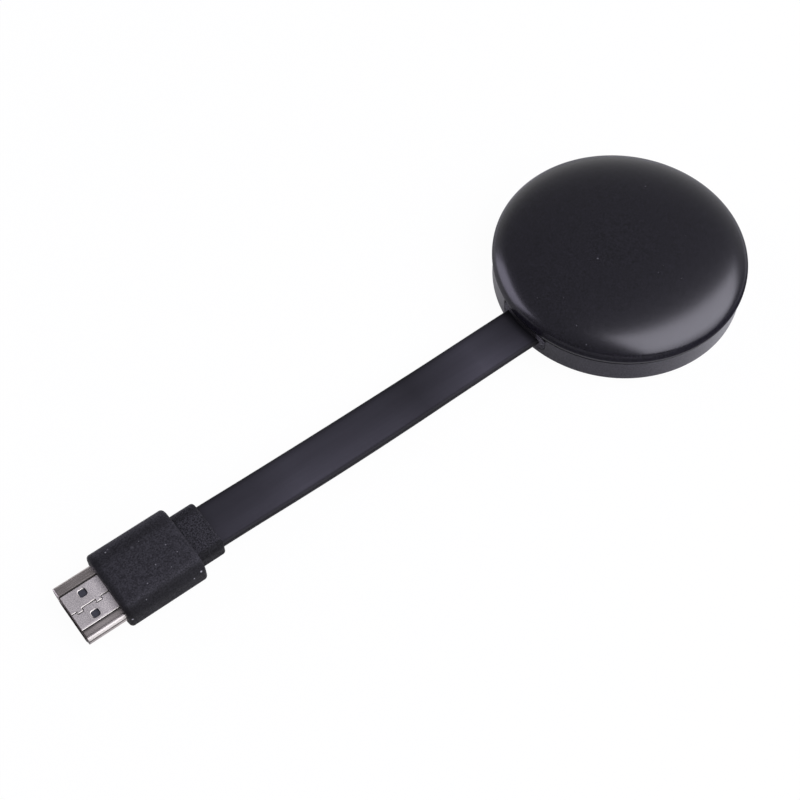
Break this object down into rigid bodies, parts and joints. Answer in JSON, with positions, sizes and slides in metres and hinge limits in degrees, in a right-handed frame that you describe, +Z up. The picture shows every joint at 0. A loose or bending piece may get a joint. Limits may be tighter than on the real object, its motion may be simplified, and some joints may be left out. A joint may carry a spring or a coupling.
{
  "type": "wireless display dongle",
  "caption": "Round wireless display dongle: domed puck with micro USB port and reset button, joined by a short flat cable to an HDMI plug.",
  "frame": {"origin": "centre of the puck's underside, on the surface it lies on", "axes": "+Z up through the lid, -X along the cable to the plug, +X through the micro USB port"},
  "size_m": [0.1702, 0.0568, 0.0134],
  "materials": {
    "lid_plastic": "satin black, moulded, faintly glossy",
    "base_plastic": "matte black, finely grained",
    "grommet_rubber": "matte, grained",
    "board_green": "solder resist",
    "chip_black": "moulded epoxy",
    "tinned_steel": "dull tin plate",
    "ferrite_grey": "pressed ferrite",
    "ceramic_tan": "fired ceramic",
    "pad_blue": "soft silicone",
    "aluminium_plate": "stamped, matte",
    "screw_steel": "zinc plated",
    "copper_foil": "foil",
    "lead_black": "smooth jacket",
    "gold_plate": "flash gold plating",
    "nickel_shell": "nickel plated, satin",
    "insulator_black": "moulded",
    "button_plastic": "matte black",
    "switch_ivory": "moulded",
    "led_white": "moulded",
    "clear_pipe": "clear acrylic",
    "core_copper": "insulated wire",
    "cable_jacket": "smooth satin black",
    "plug_moulding": "spark-eroded matte grain",
    "mould_ivory": "low pressure moulding"
  },
  "bodies": {
    "housing": {"top_cover": "lid_plastic", "base_cover": "base_plastic", "cable_grommet": "grommet_rubber", "main_board": "board_green", "processor_chip": "chip_black", "memory_chips": "chip_black", "flash_chip": "chip_black", "power_chip": "chip_black", "wifi_shield_can": "tinned_steel", "clock_crystal": "tinned_steel", "power_inductors": "ferrite_grey", "board_capacitors": "ceramic_tan", "thermal_pad": "pad_blue", "heat_spreader": "aluminium_plate", "board_screws": "screw_steel", "antenna_strip": "copper_foil", "antenna_lead": "lead_black", "antenna_socket": "gold_plate", "usb_shell": "nickel_shell", "usb_insulator": "insulator_black", "usb_contacts": "gold_plate", "switch_housing": "chip_black", "status_led": "led_white", "light_pipe": "clear_pipe", "cable_cores": "core_copper", "flat_cable": "cable_jacket", "plug_neck": "plug_moulding", "plug_cores": "core_copper", "plug_inner_mould": "mould_ivory", "plug_housing": "plug_moulding", "hdmi_shell": "nickel_shell", "hdmi_rear_can": "tinned_steel", "hdmi_insulator": "insulator_black", "hdmi_upper_contacts": "gold_plate", "hdmi_lower_contacts": "gold_plate"},
    "reset_button": {"button_cap": "button_plastic", "switch_plunger": "switch_ivory"}
  },
  "joints": [
    {"name": "reset_button_press", "type": "slide", "parent": "housing", "child": "reset_button", "axis": [-0.8192, -0.5736, 0], "range_m": [0, 0.00035], "stiffness_N_per_m": 400}
  ]
}
